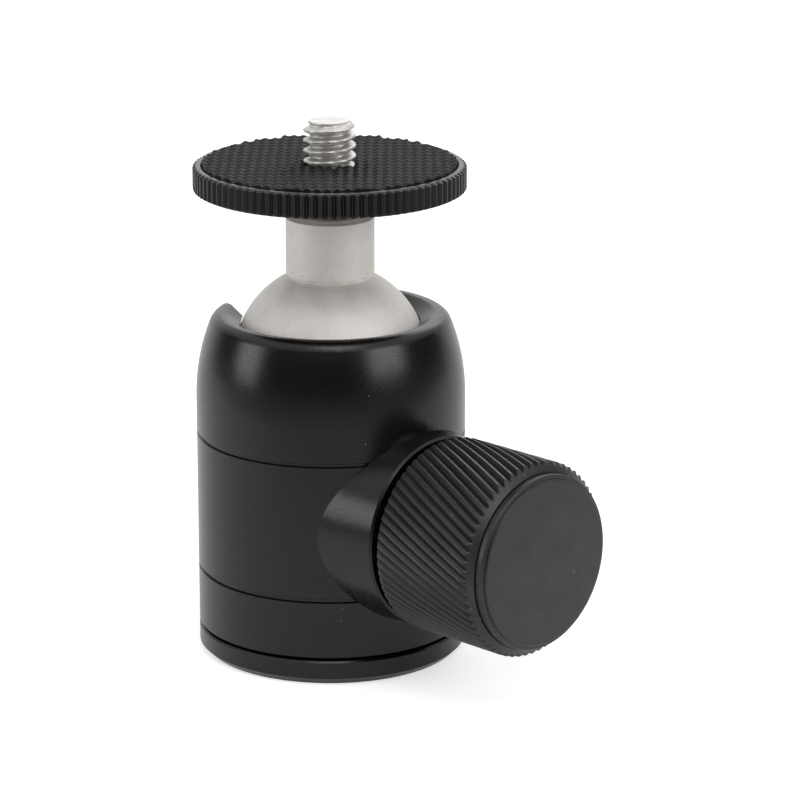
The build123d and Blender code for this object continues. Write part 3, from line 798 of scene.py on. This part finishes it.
def floor():
    """A plain pale round table that meets the white background and keeps the object's shadow."""
    a = math.radians(VIEW_AZIMUTH)
    middle_x, middle_y = -FLOOR_BACK * math.sin(a), FLOOR_BACK * math.cos(a)
    points = []
    for k in range(FLOOR_POINTS):
        angle = TAU * k / FLOOR_POINTS
        x, y = middle_x + FLOOR_R * math.cos(angle), middle_y + FLOOR_R * math.sin(angle)
        points.append((x, y, 0))
    mesh = bpy.data.meshes.new("floor")
    mesh.from_pydata(points, [], [tuple(range(FLOOR_POINTS))])
    obj = add_object("floor", mesh)
    material = bpy.data.materials.new("floor")
    material.use_nodes = True
    tree = material.node_tree
    tree.nodes.clear()
    diffuse = tree.nodes.new("ShaderNodeBsdfDiffuse")
    diffuse.inputs["Color"].default_value = FLOOR_COLOUR
    path = tree.nodes.new("ShaderNodeLightPath")
    mirrored = number_mix(tree, seen_rays(tree), 0.0, FLOOR_MIRRORED)
    strength = number_mix(tree, path.outputs["Is Camera Ray"], mirrored, FLOOR_LEVEL)
    glow = tree.nodes.new("ShaderNodeEmission")
    tree.links.new(strength, glow.inputs["Strength"])
    add = tree.nodes.new("ShaderNodeAddShader")
    tree.links.new(diffuse.outputs["BSDF"], add.inputs[0])
    tree.links.new(glow.outputs["Emission"], add.inputs[1])
    output = tree.nodes.new("ShaderNodeOutputMaterial")
    tree.links.new(add.outputs["Shader"], output.inputs["Surface"])
    obj.data.materials.append(material)


def world():
    """White to the camera, and a plain level as a light.

    Mirrors see a white backdrop behind the head and a dimmer room in front of it.
    """
    w = bpy.data.worlds.new("studio")
    scene.world = w
    w.use_nodes = True
    tree = w.node_tree
    tree.nodes.clear()
    direction = tree.nodes.new("ShaderNodeTexCoord").outputs["Generated"]
    split = tree.nodes.new("ShaderNodeSeparateXYZ")
    tree.links.new(direction, split.inputs["Vector"])
    behind = tree.nodes.new("ShaderNodeVectorMath")
    behind.operation = "DOT_PRODUCT"
    a = math.radians(VIEW_AZIMUTH)
    behind.inputs[1].default_value = (-math.sin(a), math.cos(a), 0)
    tree.links.new(direction, behind.inputs[0])
    share = tree.nodes.new("ShaderNodeMapRange")
    for key, number in zip(("From Min", "From Max"), BACKDROP_EDGE):
        share.inputs[key].default_value = number
    tree.links.new(behind.outputs["Value"], share.inputs["Value"])
    blend = tree.nodes.new("ShaderNodeMix")
    blend.data_type = "RGBA"
    tree.links.new(share.outputs["Result"], blend.inputs["Factor"])
    tree.links.new(level_ramp(tree, split.outputs["Z"], ROOM), blend.inputs["A"])
    tree.links.new(level_ramp(tree, split.outputs["Z"], BACKDROP), blend.inputs["B"])

    shades = []
    for colour, strength in ((None, AMBIENT), (blend.outputs["Result"], 1.0), (None, 1.0)):
        background = tree.nodes.new("ShaderNodeBackground")
        background.inputs["Color"].default_value = (1, 1, 1, 1)
        background.inputs["Strength"].default_value = strength
        if colour:
            tree.links.new(colour, background.inputs["Color"])
        shades.append(background.outputs["Background"])
    surface = shades[0]
    path = tree.nodes.new("ShaderNodeLightPath")
    for rays, shade in ((seen_rays(tree), shades[1]), (path.outputs["Is Camera Ray"], shades[2])):
        mix = tree.nodes.new("ShaderNodeMixShader")
        tree.links.new(rays, mix.inputs["Fac"])
        tree.links.new(surface, mix.inputs[1])
        tree.links.new(shade, mix.inputs[2])
        surface = mix.outputs["Shader"]
    output = tree.nodes.new("ShaderNodeOutputWorld")
    tree.links.new(surface, output.inputs["Surface"])


def aim(obj, place, towards):
    """Puts a lamp or the camera at a place; towards points from the head back to it."""
    obj.location = place
    obj.rotation_euler = (-towards).to_track_quat("-Z", "Y").to_euler()


def softbox(name, azimuth, elevation, width, height, power):
    """An area lamp that faces the head. Azimuth is measured from the camera's side."""
    lamp = bpy.data.lights.new(name, "AREA")
    lamp.shape = "RECTANGLE"
    lamp.size = width
    lamp.size_y = height
    lamp.energy = power
    direction = away(VIEW_AZIMUTH + azimuth, elevation)
    aim(add_object(name, lamp), SOFTBOX_TARGET + direction * SOFTBOX_DISTANCE, direction)


def add_camera():
    """The camera, which looks at CAMERA_AIM."""
    data = bpy.data.cameras.new("camera")
    data.lens = CAMERA_LENS
    data.sensor_width = 36.0
    data.clip_start = 0.01
    data.clip_end = 10.0
    camera = add_object("camera", data)
    direction = away(VIEW_AZIMUTH, VIEW_ELEVATION)
    aim(camera, CAMERA_AIM + direction * CAMERA_DISTANCE, direction)
    scene.camera = camera


floor()
world()
for row in SOFTBOXES:
    softbox(*row)
add_camera()

scene.view_settings.view_transform = "Standard"
